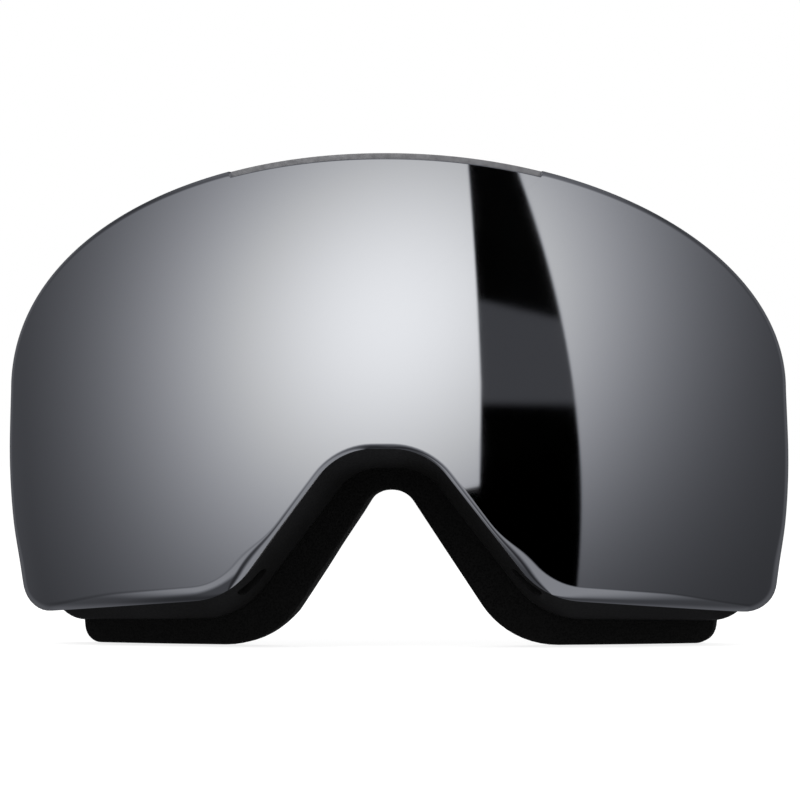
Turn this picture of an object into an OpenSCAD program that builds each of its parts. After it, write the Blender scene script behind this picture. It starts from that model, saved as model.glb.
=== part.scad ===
// Frameless snow goggles: a mirrored double lens on a magnetic carrier, a soft frame
// with vents and three layers of face foam, and an elastic strap on hinged outriggers.
// The front looks along -Y, X runs across the face and Z is up. The goggles stand on
// z = 0, midway in Y between the front of the lens and the back of the strap.

/* [Overall] */
// Width across the lens
lens_width = 182; // [176:1:186]
// Height of the lens's top edge above the underside of the foam
lens_top = 113.2; // [112:0.1:118]
// Depth from the front of the lens to the back of the strap
total_depth = 230; // [224:1:250]

/* [Lens] */
// Horizontal radius of the outer lens's front
lens_radius = 105; // [103:1:112]
// Vertical radius of the outer lens's front
lens_v_radius = 260; // [220:10:400]
// Height of the lens's most forward point
lens_mid_z = 60.5; // [55:0.5:66]
// Thickness of the outer lens
outer_lens_t = 2.2; // [1.8:0.1:2.4]
// Thickness of the inner lens
inner_lens_t = 1.0; // [0.8:0.1:1.2]
// Air gap between the lenses, filled by the spacer at the rim
lens_gap = 4.0; // [3.6:0.1:4.2]
// Half the length of the ledge along the brow edge
ledge_half = 36; // [30:1:40]
// Height of that ledge
ledge_h = 1.4; // [1.0:0.1:2.0]

/* [Frame] */
// Wall thickness of the frame
frame_t = 2.0; // [1.6:0.1:2.2]
// Depth of the face flange behind the front of the lens, at the centre
flange_depth = 26; // [25:0.5:28]
// Horizontal radius of the face flange
flange_radius = 103.5; // [102:0.5:106]
// Length of one vent slot
vent_l = 14; // [10:0.5:15]
// Width of one vent slot
vent_w = 4.4; // [3:0.1:4.6]

/* [Foam] */
// Depth of the face side of the foam behind the front of the lens, at the centre
foam_depth = 45; // [43:0.5:48]
// Horizontal radius of the face side of the foam
foam_radius = 93.6; // [92:0.2:96]
// Width of the foam ring at the brow
foam_w = 13; // [10:0.5:14]

/* [Strap] */
// Width of the elastic webbing
strap_w = 40; // [36:1:42]
// Thickness of one layer of webbing
strap_t = 1.8; // [1.4:0.1:2.0]
// Height of the strap's centre line
strap_z = 55.5; // [53:0.5:58]
// Half the distance between the strap's straight sides
strap_x = 79; // [78:0.5:80]
// Where the curve round the back of the head begins
curve_y = 30; // [26:1:34]

/* [Hardware] */
// Radius of the outrigger's hinge pin
pin_r = 1.48; // [1.4:0.01:1.5]
// Radius of the bar that holds the webbing
bar_r = 1.6; // [1.4:0.1:1.8]
// Radius of one lens magnet
magnet_r = 2.2; // [1.8:0.1:2.3]
// Number of lens magnets on each side of the centre line
magnets_per_side = 4; // [2:1:4]

/* [Hidden] */
$fn = 64;

front_y = -total_depth / 2;
lens_axis_y = front_y + lens_radius;
flange_axis_y = front_y + flange_depth + flange_radius;
foam_axis_y = front_y + foam_depth + foam_radius;
profile_r = lens_radius - lens_v_radius;   // where the lens's vertical arc has its centre

brow_n = 2.05;        // exponent of the brow's superellipse
brow_steps = 20;      // points along half of the brow
corner_steps = 5;     // segments in each rounded corner
glue = 0.2;           // adhesive film between the glued layers of the lens
wrap = 0.55;          // foreshortening of the rim at the sides, seen from the front

// Depths behind the front of the lens, along its normal
spacer_d = outer_lens_t + glue;
inner_d = outer_lens_t + lens_gap;
carrier_back_d = inner_d + inner_lens_t + 1.0;
seat_d = carrier_back_d + 0.2;             // front of the frame's lens seat

carrier_inset = [0.8, 7.3];
glazing_inset = [7.6, 11.5];
seat_inset = [1.5, 9.5];
ledge_t = 1.1;
magnet_inset = 4.1;
flange_w = 9;
filter_t = 2.5;

// ---- outlines, seen from the front ----

// An outline is [half width, brow height, four corners as x, z and radius]. The brow is a
// superellipse down to widest_z, and the corners run down the side to the nose.
widest_z = 59;
lens_half = lens_width / 2;

function lens_outline(d) = [
    lens_half - 0.3 - wrap * d, lens_top - d,
    [[lens_half + 0.6 - wrap * d, 36, 150 - 8 * d],
     [lens_half - 3.3 - wrap * d, 7.0 + d, max(2, 7 - d / 2)],
     [36.6 + d / 2, 11.0 + d, 18 - d],
     [10 + d / 2, 45.6 + d, 16 + d]]];

function flange_outline(d) = [
    85.5 - 1.3 * d, 108.5 - d,
    [[85.5 - 1.3 * d, 36, 150 - 8 * d],
     [81 - 1.3 * d, 5.3 + d, max(2, 9 - 0.6 * d)],
     [34.6 + d / 2, 6.3 + d, 19 - d],
     [7.9 + d / 2, 41 + d, 12 + d]]];

function foam_outline(d) = [
    77 - 0.75 * d, 106 - d,
    [[77 - 0.75 * d, 36, 60],
     [73.2 - 0.8 * d, d, 4 + d / 4],
     [27 + 0.53 * d, d, 21 - d],
     [3.6 + 0.53 * d, 35.8 + d, 5.6 + d]]];

function unit(v) = v / norm(v);

// The arc that rounds corner b of the path a, b, c
function fillet(a, b, c, r) =
    let (u = unit(a - b), v = unit(c - b),
         half = acos(u * v) / 2,
         centre = b + unit(u + v) * r / sin(half),
         p = b + u * r / tan(half) - centre,
         q = b + v * r / tan(half) - centre,
         start = atan2(p[1], p[0]),
         raw = atan2(q[1], q[0]) - start,
         turn = raw > 180 ? raw - 360 : raw < -180 ? raw + 360 : raw)
    [for (i = [0 : corner_steps])
        centre + r * [cos(start + turn * i / corner_steps),
                      sin(start + turn * i / corner_steps)]];

// Points that split the line from a to b into equal parts
function between(a, b, parts) = [for (i = [1 : parts - 1]) a + (b - a) * i / parts];

function half_outline(o) =
    let (rise = o[1] - widest_z,
         brow = [for (i = [0 : brow_steps])
                    let (t = 90 - 90 * i / brow_steps)
                    [o[0] * pow(cos(t), 2 / brow_n),
                     widest_z + rise * pow(sin(t), 2 / brow_n)]],
         stops = concat([[o[0], widest_z]], [for (k = o[2]) [k[0], k[1]]], [[0, o[2][3][1]]]),
         f = [for (k = [0 : 3]) fillet(stops[k], stops[k + 1], stops[k + 2], o[2][k][2])])
    concat(brow, f[0], between(f[0][corner_steps], f[1][0], 3),
           f[1], between(f[1][corner_steps], f[2][0], 5),
           f[2], between(f[2][corner_steps], f[3][0], 3), f[3]);

// The whole outline, clockwise from the middle of the brow
function outline(o) =
    let (h = half_outline(o))
    concat(h, [for (i = [len(h) - 1 : -1 : 1]) [-h[i][0], h[i][1]]]);

half_count = len(half_outline(lens_outline(0)));
count = 2 * half_count - 1;

// ---- surfaces ----

function lens_r(z) = profile_r + sqrt(pow(lens_v_radius, 2) - pow(z - lens_mid_z, 2));
function lens_yaw(p) = asin(p[0] / lens_r(p[1]));
function lens_tilt(p) = asin((p[1] - lens_mid_z) / lens_v_radius);

// The point at depth d behind the lens's front at p, which is x and z as seen from the front
function on_lens(p, d) =
    let (k = 1 - d / lens_v_radius,
         r = (lens_r(p[1]) - profile_r) * k + profile_r)
    [r * sin(lens_yaw(p)), lens_axis_y - r * cos(lens_yaw(p)),
     lens_mid_z + (p[1] - lens_mid_z) * k];

// The point at x and z on the face flange's back, or d in front of it
function on_flange(p, d = 0) =
    [p[0], flange_axis_y - sqrt(pow(flange_radius + d, 2) - p[0] * p[0]), p[1]];

// The point at x and z in the foam: share 0 is at the flange, share 1 is at the face
function in_foam(p, share) =
    let (back = foam_axis_y - sqrt(pow(foam_radius, 2) - p[0] * p[0]),
         front = on_flange(p)[1])
    [p[0], front + (back - front) * share, p[1]];

function ring_on_lens(inset, d) = [for (p = outline(lens_outline(inset))) on_lens(p, d)];
function ring_on_flange(inset, d) = [for (p = outline(flange_outline(inset))) on_flange(p, d)];
function ring_in_foam(inset, share) = [for (p = outline(foam_outline(inset))) in_foam(p, share)];

// ---- solids ----

// A solid through sections that each have the same number of points: a ring, or a capped strip.
// Each side is split along its shorter diagonal, so that facing sides of two solids match.
module skin(sections, closed) {
    n = len(sections);
    m = len(sections[0]);
    points = [for (s = sections) each s];
    sides = [for (i = [0 : closed ? n - 1 : n - 2], j = [0 : m - 1])
        let (k = (i + 1) % n, l = (j + 1) % m,
             a = i * m + j, b = k * m + j, c = k * m + l, d = i * m + l)
        each norm(points[a] - points[c]) < norm(points[b] - points[d])
            ? [[a, b, c], [a, c, d]] : [[a, b, d], [b, c, d]]];
    caps = closed ? [] : concat(
        [for (j = [1 : m - 2]) [0, j, j + 1]],
        [for (j = [1 : m - 2]) [(n - 1) * m, (n - 1) * m + j + 1, (n - 1) * m + j]]);
    polyhedron(points = points, faces = concat(sides, caps));
}

// A ring whose cross-section has one corner on each of the loops
module ring(loops) {
    skin([for (i = [0 : count - 1]) [for (l = loops) l[i]]], true);
}

// Part of such a ring, from one place on the outline to another
module strip(loops, first, last) {
    skin([for (i = [first : last]) [for (l = loops) l[(i + count) % count]]], false);
}

blank_h = 140;        // height of the curved blank that a lens is trimmed from

// The lens's own double curve, between two depths, trimmed to a shape seen from the front
module lens_layer(shape, d0, d1) {
    intersection() {
        translate([0, lens_axis_y, lens_mid_z])
            rotate_extrude($fn = 180)
                intersection() {
                    difference() {
                        translate([profile_r, 0]) circle(r = lens_v_radius - d0, $fn = 360);
                        translate([profile_r, 0]) circle(r = lens_v_radius - d1, $fn = 360);
                    }
                    translate([lens_radius * 0.7, -blank_h / 2]) square([lens_radius * 0.4, blank_h]);
                }
        translate([0, lens_axis_y, 0])
            rotate([90, 0, 0])
                linear_extrude(height = lens_radius + 10) polygon(shape);
    }
}

// Places children on the lens at p, with their -Y axis along the lens's normal
module at_lens(p, d) {
    translate(on_lens(p, d))
        rotate([-lens_tilt(p), 0, lens_yaw(p)])
            children();
}

module across(sign) {
    mirror([sign < 0 ? 1 : 0, 0, 0]) children();
}

module y_cylinder(r, h) {
    rotate([90, 0, 0]) cylinder(r = r, h = h, center = true);
}

// ---- lens module ----

// The step cut into the front of the brow edge
module brow_ledge() {
    intersection() {
        difference() {
            lens_layer(outline(lens_outline(-1)), -1, ledge_t);
            lens_layer(outline(lens_outline(ledge_h)), -2, ledge_t + 1);
        }
        translate([-ledge_half, front_y - 5, lens_mid_z]) cube([2 * ledge_half, 40, 60]);
    }
}

module outer_lens() {
    color("silver")
        difference() {
            lens_layer(outline(lens_outline(0)), 0, outer_lens_t);
            brow_ledge();
        }
}

module lens_spacer() {
    color("dimgray")
        ring([ring_on_lens(glazing_inset[0], spacer_d),
              ring_on_lens(glazing_inset[1], spacer_d),
              ring_on_lens(glazing_inset[1], inner_d - glue),
              ring_on_lens(glazing_inset[0], inner_d - glue)]);
}

module inner_lens() {
    rim = ring_on_lens(glazing_inset[0], inner_d + inner_lens_t);
    color("slategray", 0.5)
        lens_layer([for (p = rim) [p[0], p[2]]], inner_d, inner_d + inner_lens_t);
}

magnet_places = [4, 14, 31, 46];           // point numbers along the outline
magnet_spots = [for (k = [0 : magnets_per_side - 1]) magnet_places[k]];
magnet_t = 2.0;
keeper_t = 1.2;
pocket_gap = 0.1;

// Places children at every magnet, on both sides, at a depth behind the lens
module at_magnets(d) {
    spots = outline(lens_outline(magnet_inset));
    for (i = magnet_spots, sign = [-1, 1])
        across(sign) at_lens(spots[i], d) children();
}

module lens_carrier() {
    front_d = outer_lens_t + glue;
    color([0.1, 0.1, 0.11])
        difference() {
            ring([ring_on_lens(carrier_inset[0], front_d),
                  ring_on_lens(carrier_inset[1], front_d),
                  ring_on_lens(carrier_inset[1], carrier_back_d),
                  ring_on_lens(carrier_inset[0], carrier_back_d)]);
            at_magnets(carrier_back_d - magnet_t / 2)
                y_cylinder(magnet_r + pocket_gap, magnet_t + 2 * pocket_gap);
        }
}

module carrier_magnets() {
    color("gainsboro")
        at_magnets(carrier_back_d - magnet_t / 2) y_cylinder(magnet_r, magnet_t);
}

// ---- frame ----

// Middle of the frame's wall at one place on the outline
function wall_mid(i) =
    let (a = outline(lens_outline(seat_inset[0])), b = outline(flange_outline(0)))
    (on_lens(a[i], seat_d + frame_t) + on_flange(b[i], frame_t)) / 2;

// A vent slot of length l and width w through the wall at outline point i, lying along the wall
module vent(i, l, w) {
    along = wall_mid(i + 1) - wall_mid(i - 1);
    yaw = atan2(along[1], along[0]);
    pitch = -atan2(along[2], norm([along[0], along[1]]));
    cut_h = 3.5 * frame_t;
    translate(wall_mid(i))
        rotate([0, pitch, yaw]) {
            cube([l - w, w, cut_h], center = true);
            for (s = [-1, 1])
                translate([s * (l - w) / 2, 0, 0])
                    cylinder(d = w, h = cut_h, center = true, $fn = 24);
        }
}

// Places along the outline, as point numbers
brow_vents = [3, 8, 12];
nose_vent = 43;
brow_filter_end = 15;
nose_filter_ends = [41, 45];
filter_gap = 0.4;                    // between a filter and the frame round it
nose_vent_l = 0.74 * vent_l;
nose_vent_w = 0.7 * vent_w;

hinge_x = 85;
hinge_y = front_y + 76.5;
barrel_r = 3.0;
barrel_h = 16;
lug_r = barrel_r + 0.4;
lug_t = 3.6;
lug_gap = 0.3;
lug_z = barrel_h / 2 + lug_gap;      // from the strap's centre line to a lug's near face
lug_hole_r = pin_r + 0.02;           // the pin is pressed into the lugs
barrel_hole_r = pin_r + 0.07;        // and turns freely in the barrel
pin_head_r = 2.4;
pin_head_t = 0.9;

// An ear that grows back from the frame's side wall to the hinge
module hinge_lug() {
    difference() {
        union() {
            cylinder(r = lug_r, h = lug_t);
            linear_extrude(height = lug_t)
                polygon([[-lug_r, 0], [-4.4, -6], [-4, -13.5], [-1.6, -15], [1.4, -6.5],
                         [lug_r, -0.6], [0, 0]]);
        }
        translate([0, 0, -1]) cylinder(r = lug_hole_r, h = lug_t + 2);
    }
}

module frame() {
    seat_o = seat_inset[0];
    seat_i = seat_inset[1];
    color([0.07, 0.07, 0.075]) {
        difference() {
            ring([ring_on_lens(seat_o, seat_d),
                  ring_on_lens(seat_i, seat_d),
                  ring_on_lens(seat_i, seat_d + frame_t),
                  ring_on_lens(seat_o + frame_t, seat_d + frame_t),
                  ring_on_flange(frame_t, frame_t),
                  ring_on_flange(flange_w, frame_t),
                  ring_on_flange(flange_w, 0),
                  ring_on_flange(0, 0)]);
            for (sign = [-1, 1])
                across(sign) {
                    for (i = brow_vents) vent(i, vent_l, vent_w);
                    vent(nose_vent, nose_vent_l, nose_vent_w);
                }
            at_magnets(seat_d + keeper_t / 2)
                y_cylinder(magnet_r + pocket_gap, keeper_t + 2 * pocket_gap);
        }
        for (sign = [-1, 1])
            across(sign)
                for (z = [strap_z + lug_z, strap_z - lug_z - lug_t])
                    translate([hinge_x, hinge_y, z]) hinge_lug();
    }
}

module frame_keepers() {
    color("gainsboro")
        at_magnets(seat_d + keeper_t / 2) y_cylinder(magnet_r, keeper_t);
}

module vent_filter(first, last, gap) {
    o = frame_t + gap;
    i = o + filter_t;
    color([0.2, 0.2, 0.21])
        strip([ring_on_lens(seat_inset[0] + o, seat_d + frame_t + gap),
               ring_on_lens(seat_inset[0] + i, seat_d + frame_t + gap),
               ring_on_flange(i, frame_t + gap),
               ring_on_flange(o, frame_t + gap)], first, last);
}

// ---- foam ----

module foam_layer(inset, from, to) {
    ring([ring_in_foam(inset, from), ring_in_foam(foam_w - inset, from),
          ring_in_foam(foam_w - inset, to), ring_in_foam(inset, to)]);
}

module face_foam_base() { color([0.13, 0.13, 0.14]) foam_layer(0, 0.03, 0.44); }
module face_foam_comfort() { color([0.2, 0.2, 0.21]) foam_layer(0.2, 0.46, 0.85); }
module face_fleece() { color([0.1, 0.1, 0.1]) foam_layer(0.4, 0.87, 1); }

// ---- outriggers and strap, on the +X side ----

bar_y = hinge_y + 19.5;
rail_t = 2.2;
strap_gap = 0.4;                            // webbing to hardware
loop_h = strap_w + 2 * strap_gap;
loop_r = bar_r + 0.2 + strap_t / 2;         // middle of the webbing round the bar

rail_z = loop_h / 2 + rail_t;               // from the strap's centre line to a rail's far face
arm_back = bar_y + 3;

// The arm seen from above, from the barrel to the bar
module arm_plan() {
    polygon([[hinge_x - 2.4, hinge_y + 0.8], [hinge_x + barrel_r, hinge_y],
             [hinge_x + 2.4, hinge_y + 6], [strap_x + 4.2, bar_y - 5], [strap_x + 3, arm_back],
             [strap_x - 3, arm_back], [strap_x - 3, bar_y - 4], [strap_x + 1.2, bar_y - 8]]);
}

// The arm seen from the side: it widens from the barrel to the rails above and below the webbing
module arm_side() {
    top = [[hinge_y - 1, barrel_h / 2], [hinge_y + 5, barrel_h / 2], [hinge_y + 14, rail_z],
           [arm_back - 1.2, rail_z], [arm_back, rail_z - 1.2]];
    polygon(concat(top, [for (i = [len(top) - 1 : -1 : 0]) [top[i][0], -top[i][1]]]));
}

module outrigger() {
    window_y = bar_y - loop_r - strap_t / 2 - strap_gap;
    color([0.09, 0.09, 0.1])
        translate([0, 0, strap_z]) {
            difference() {
                union() {
                    translate([hinge_x, hinge_y, -barrel_h / 2]) cylinder(r = barrel_r, h = barrel_h);
                    intersection() {
                        translate([0, 0, -rail_z]) linear_extrude(height = 2 * rail_z) arm_plan();
                        rotate([90, 0, 90]) linear_extrude(height = 100) arm_side();
                    }
                }
                translate([hinge_x, hinge_y, -barrel_h]) cylinder(r = barrel_hole_r, h = 2 * barrel_h);
                translate([strap_x - 10, window_y, -loop_h / 2]) cube([20, 20, loop_h]);
            }
            translate([strap_x, bar_y, -loop_h / 2 - 1]) cylinder(r = bar_r, h = loop_h + 2);
        }
}

module hinge_pin() {
    reach = lug_z + lug_t;
    color("silver")
        translate([hinge_x, hinge_y, strap_z - reach]) {
            cylinder(r = pin_r, h = 2 * reach + 0.2);
            translate([0, 0, 2 * reach + 0.1]) cylinder(r = pin_head_r, h = pin_head_t);
        }
}

// A band of thickness t that follows a path in plan
function left_of(path, i) =
    let (n = len(path),
         d = unit(path[min(i + 1, n - 1)] - path[max(i - 1, 0)]))
    [-d[1], d[0]];

module band(path, t, h, z) {
    n = len(path);
    translate([0, 0, z - h / 2])
        linear_extrude(height = h)
            polygon(concat([for (i = [0 : n - 1]) path[i] + left_of(path, i) * t / 2],
                           [for (i = [n - 1 : -1 : 0]) path[i] - left_of(path, i) * t / 2]));
}

layer_x = strap_t / 2 + 0.1;      // from the doubled webbing's middle to one layer's middle
end_y = bar_y + 12;               // where the looped end stops
tail_y = end_y + 1.2;             // where the doubled side begins
tail_end_y = curve_y;             // where the folded-back tail stops

module strap_end() {
    path = concat([[strap_x - layer_x, end_y], [strap_x - layer_x, bar_y + 9]],
                  [for (a = [180 : 15 : 360]) [strap_x, bar_y] + loop_r * [cos(a), sin(a)]],
                  [[strap_x + layer_x, bar_y + 9], [strap_x + layer_x, end_y]]);
    color([0.12, 0.12, 0.13]) band(path, strap_t, strap_w, strap_z);
}

module strap_tail() {
    x = strap_x - layer_x;
    color([0.12, 0.12, 0.13]) band([[x, tail_y], [x, tail_end_y]], strap_t, strap_w, strap_z);
}

// The path round the back of the head, from the +X side to the -X side
band_x = strap_x + layer_x;
band_rear = total_depth / 2 - strap_t / 2;
function head_path(inner) =
    [for (a = [0 : 5 : 180])
        [(band_x - inner) * cos(a), curve_y + (band_rear - curve_y - inner) * sin(a)]];

module strap_band() {
    path = concat([[band_x, tail_y]], head_path(0), [[-band_x, tail_y]]);
    color([0.12, 0.12, 0.13]) band(path, strap_t, strap_w, strap_z);
}

grip_t = 0.7;
grip_line_w = 3;
grip_pitch = 12;
grip_skip = 8;                    // points of the head path that each end of a grip line skips

module strap_grip() {
    inner = head_path(strap_t / 2 + grip_t / 2 + 0.05);
    path = [for (i = [grip_skip : len(inner) - 1 - grip_skip]) inner[i]];
    color([0.25, 0.25, 0.27])
        for (k = [-1, 0, 1]) band(path, grip_t, grip_line_w, strap_z + k * grip_pitch);
}

slider_l = 16;
slider_y = bar_y + 29;
slider_wall = 1.6;
slider_slot = 3.6;                // width of each of the two slots in the slider's outer wall

// A ladder-shaped sleeve: the doubled webbing runs through it along Y
module slider() {
    inner_x = 2 * strap_t + 0.2 + 2 * strap_gap;
    color([0.09, 0.09, 0.1])
        translate([strap_x, slider_y, strap_z])
            difference() {
                cube([inner_x + 2 * slider_wall, slider_l, loop_h + 2 * rail_t], center = true);
                cube([inner_x, slider_l + 2, loop_h], center = true);
                for (s = [-1, 1])
                    translate([inner_x, s * slider_slot, 0])
                        cube([2 * inner_x - 1, slider_slot, loop_h - 4], center = true);
            }
}

// ---- nodes ----

outer_lens();
lens_spacer();
inner_lens();
lens_carrier();
carrier_magnets();
frame();
frame_keepers();
vent_filter(-brow_filter_end, brow_filter_end, filter_gap);  // top_vent_filter
vent_filter(nose_filter_ends[0], nose_filter_ends[1], 2 * filter_gap);  // lower_vent_filter_left
across(-1) vent_filter(nose_filter_ends[0], nose_filter_ends[1], 2 * filter_gap);  // lower_vent_filter_right
face_foam_base();
face_foam_comfort();
face_fleece();
outrigger();  // outrigger_left
across(-1) outrigger();  // outrigger_right
hinge_pin();  // hinge_pin_left
across(-1) hinge_pin();  // hinge_pin_right
strap_end();  // strap_end_left
across(-1) strap_end();  // strap_end_right
strap_tail();  // strap_tail_left
across(-1) strap_tail();  // strap_tail_right
strap_band();
strap_grip();
slider();  // slider_left
across(-1) slider();  // slider_right
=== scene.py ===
"""The looks of the ski goggles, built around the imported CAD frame.

Shapes are worked out in millimetres in the CAD's own frame: the front looks along -Y, X runs
across the face and Z is up. A depth is measured back from the front of the lens.
"""

import math

import bmesh
import bpy
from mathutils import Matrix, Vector

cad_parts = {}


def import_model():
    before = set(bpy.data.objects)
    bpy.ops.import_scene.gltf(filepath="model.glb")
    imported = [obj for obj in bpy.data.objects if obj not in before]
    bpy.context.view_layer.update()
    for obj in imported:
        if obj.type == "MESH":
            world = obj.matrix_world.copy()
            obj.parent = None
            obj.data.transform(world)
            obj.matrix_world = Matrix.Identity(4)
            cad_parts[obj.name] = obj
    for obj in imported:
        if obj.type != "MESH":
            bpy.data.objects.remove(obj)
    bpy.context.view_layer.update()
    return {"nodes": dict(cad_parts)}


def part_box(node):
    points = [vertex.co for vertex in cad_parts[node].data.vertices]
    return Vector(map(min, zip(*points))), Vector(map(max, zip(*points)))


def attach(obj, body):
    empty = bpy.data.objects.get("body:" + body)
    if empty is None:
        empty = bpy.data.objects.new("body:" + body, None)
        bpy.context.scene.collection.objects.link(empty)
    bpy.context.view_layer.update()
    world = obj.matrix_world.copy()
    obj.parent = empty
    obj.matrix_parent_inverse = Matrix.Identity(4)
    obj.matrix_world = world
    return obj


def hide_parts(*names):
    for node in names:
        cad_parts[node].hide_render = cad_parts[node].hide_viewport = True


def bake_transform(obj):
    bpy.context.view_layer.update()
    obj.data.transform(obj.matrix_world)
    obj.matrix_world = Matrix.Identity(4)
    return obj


MM = 0.001

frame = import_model()


def low(node):
    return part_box(node)[0] / MM


def high(node):
    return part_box(node)[1] / MM


# ---- driving dimensions, in millimetres ----

FRONT_Y = low("outer_lens").y
LENS_HALF = 91.0
LENS_TOP = high("outer_lens").z
LENS_R = 105.0  # horizontal radius of the lens
LENS_RV = 260.0  # vertical radius of the lens
LENS_MID_Z = 60.5  # height of the lens's most forward point
LENS_T = 2.2
INNER_D = 6.2  # depth of the inner lens's front
INNER_T = 1.0
INNER_INSET = 7.6
GASKET_INSETS = (7.7, 11.4)  # its outer and inner walls
CARRIER_INSETS = (0.9, 7.2)
CARRIER_BACK_D = 8.18
LAYER_GAP = 0.05  # between the gasket or carrier and the pane it meets
SEAT_D = 8.4  # depth of the frame's lens seat
SEAT_INSETS = (1.5, 9.5)
FRAME_T = 2.0
FLANGE_D = 26.0
FLANGE_R = 103.5
FLANGE_W = 9.0
FOAM_D = 45.0
FOAM_R = 93.6
FOAM_W = 13.0
SOFT_R = 0.8  # rounding of the frame's and the foam's edges
WIDEST_Z = 59
SIDE_Z = 36  # height of the bend in each side
BROW_POWER = 2.05
WRAP = 0.55  # foreshortening of the rim at the sides, seen from the front
LEDGE_HALF = 36.0
LEDGE_H = 1.4
LEDGE_T = 1.1
LEDGE_STEPS = [(0, LEDGE_T), (LEDGE_H, LEDGE_T), (LEDGE_H + 0.03, 0.2), (LEDGE_H + 0.3, 0)]  # inset, depth
PROFILE_R = LENS_R - LENS_RV
LENS_AXIS_Y = FRONT_Y + LENS_R
FLANGE_AXIS_Y = FRONT_Y + FLANGE_D + FLANGE_R
FOAM_AXIS_Y = FRONT_Y + FOAM_D + FOAM_R

STRAP_LOW, STRAP_HIGH = low("strap_band"), high("strap_band")
STRAP_Z = (STRAP_LOW.z + STRAP_HIGH.z) / 2
STRAP_W = STRAP_HIGH.z - STRAP_LOW.z
STRAP_T = high("strap_tail_left").x - low("strap_tail_left").x
BAND_X = STRAP_HIGH.x - STRAP_T / 2  # middle of the outer layer
TAIL_X = high("strap_tail_left").x - STRAP_T / 2  # middle of the inner layer
STRAP_X = (BAND_X + TAIL_X) / 2
CURVE_Y = high("strap_tail_left").y
BAND_REAR = STRAP_HIGH.y - STRAP_T / 2
LOOP_R = high("strap_end_left").x - STRAP_T / 2 - STRAP_X
BAR_Y = low("strap_end_left").y + STRAP_T / 2 + LOOP_R
JOIN_Y = BAR_Y + 25.0  # where each looped end meets the band, inside the slider


# ---- outlines, seen from the front ----


def lens_outline(d):
    """Half width, brow height and four corners (x, z, radius) of the lens, inset by d."""
    return (
        LENS_HALF - 0.3 - WRAP * d,
        LENS_TOP - d,
        [
            (LENS_HALF + 0.6 - WRAP * d, SIDE_Z, 150 - 8 * d),
            (LENS_HALF - 3.3 - WRAP * d, 7.0 + d, max(2, 7 - d / 2)),
            (36.6 + d / 2, 11.0 + d, 18 - d),
            (10 + d / 2, 45.6 + d, 16 + d),
        ],
    )


def flange_outline(d):
    return (
        85.5 - 1.3 * d,
        108.5 - d,
        [
            (85.5 - 1.3 * d, SIDE_Z, 150 - 8 * d),
            (81 - 1.3 * d, 5.3 + d, max(2, 9 - 0.6 * d)),
            (34.6 + d / 2, 6.3 + d, 19 - d),
            (7.9 + d / 2, 41 + d, 12 + d),
        ],
    )


def foam_outline(d):
    return (
        77 - 0.75 * d,
        106 - d,
        [
            (77 - 0.75 * d, SIDE_Z, 60),
            (73.2 - 0.8 * d, d, 4 + d / 4),
            (27 + 0.53 * d, d, 21 - d),
            (3.6 + 0.53 * d, 35.8 + d, 5.6 + d),
        ],
    )


def fillet(a, b, c, r, steps):
    """The arc of radius r that rounds corner b of the path a, b, c."""
    a, b, c = Vector(a), Vector(b), Vector(c)
    u, v = (a - b).normalized(), (c - b).normalized()
    half = math.acos(max(-1, min(1, u.dot(v)))) / 2
    centre = b + (u + v).normalized() * r / math.sin(half)
    p = b + u * r / math.tan(half) - centre
    q = b + v * r / math.tan(half) - centre
    start = math.atan2(p.y, p.x)
    turn = math.remainder(math.atan2(q.y, q.x) - start, 2 * math.pi)
    angles = [start + turn * i / steps for i in range(steps + 1)]
    return [centre + r * Vector((math.cos(t), math.sin(t))) for t in angles]


def between(a, b, parts):
    return [a.lerp(b, i / parts) for i in range(1, parts)]


BROW_STEPS = 80
CORNER_STEPS = 10
SPAN_STEPS = (9, 15, 9)  # side to lower corner, bottom edge, nose flank
BOTTOM_START = (BROW_STEPS + 1) + 2 * (CORNER_STEPS + 1) + (SPAN_STEPS[0] - 1) - 1
NOSE_CORNER = BOTTOM_START + SPAN_STEPS[1]  # station where the nose's corner starts


def outline(spec):
    """The closed outline, clockwise from the middle of the brow, as points (x, z)."""
    half, top, corners = spec
    brow = []
    for i in range(BROW_STEPS + 1):
        t = math.pi / 2 * (1 - i / BROW_STEPS)
        x = half * max(0.0, math.cos(t)) ** (2 / BROW_POWER) if i else 0.0
        z = WIDEST_Z + (top - WIDEST_Z) * max(0.0, math.sin(t)) ** (2 / BROW_POWER)
        brow.append(Vector((x, z)))
    stops = [(half, WIDEST_Z)] + [c[:2] for c in corners] + [(0, corners[3][1])]
    arcs = [
        fillet(stops[k], stops[k + 1], stops[k + 2], corners[k][2], CORNER_STEPS)
        for k in range(4)
    ]
    right = brow + arcs[0]
    for k in range(3):
        right += between(arcs[k][-1], arcs[k + 1][0], SPAN_STEPS[k]) + arcs[k + 1]
    left = [Vector((-p.x, p.y)) for p in reversed(right[1:])]
    return right + left


# ---- surfaces ----


def lens_place(p):
    """Height above the lens's middle, reach from the profile's centre and turn to the side."""
    rise = p[1] - LENS_MID_Z
    reach = math.sqrt(LENS_RV**2 - rise**2)
    yaw = math.asin(max(-1, min(1, p[0] / (PROFILE_R + reach))))
    return rise, reach, yaw


def on_lens(p, d):
    """The point at depth d behind the lens's front at p, which is (x, z) seen from the front."""
    rise, reach, yaw = lens_place(p)
    k = 1 - d / LENS_RV
    r = reach * k + PROFILE_R
    return Vector((r * math.sin(yaw), LENS_AXIS_Y - r * math.cos(yaw), LENS_MID_Z + rise * k))


def lens_normal(p):
    rise, _, yaw = lens_place(p)
    tilt = math.asin(rise / LENS_RV)
    return Vector(
        (math.sin(yaw) * math.cos(tilt), -math.cos(yaw) * math.cos(tilt), math.sin(tilt))
    )


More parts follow.
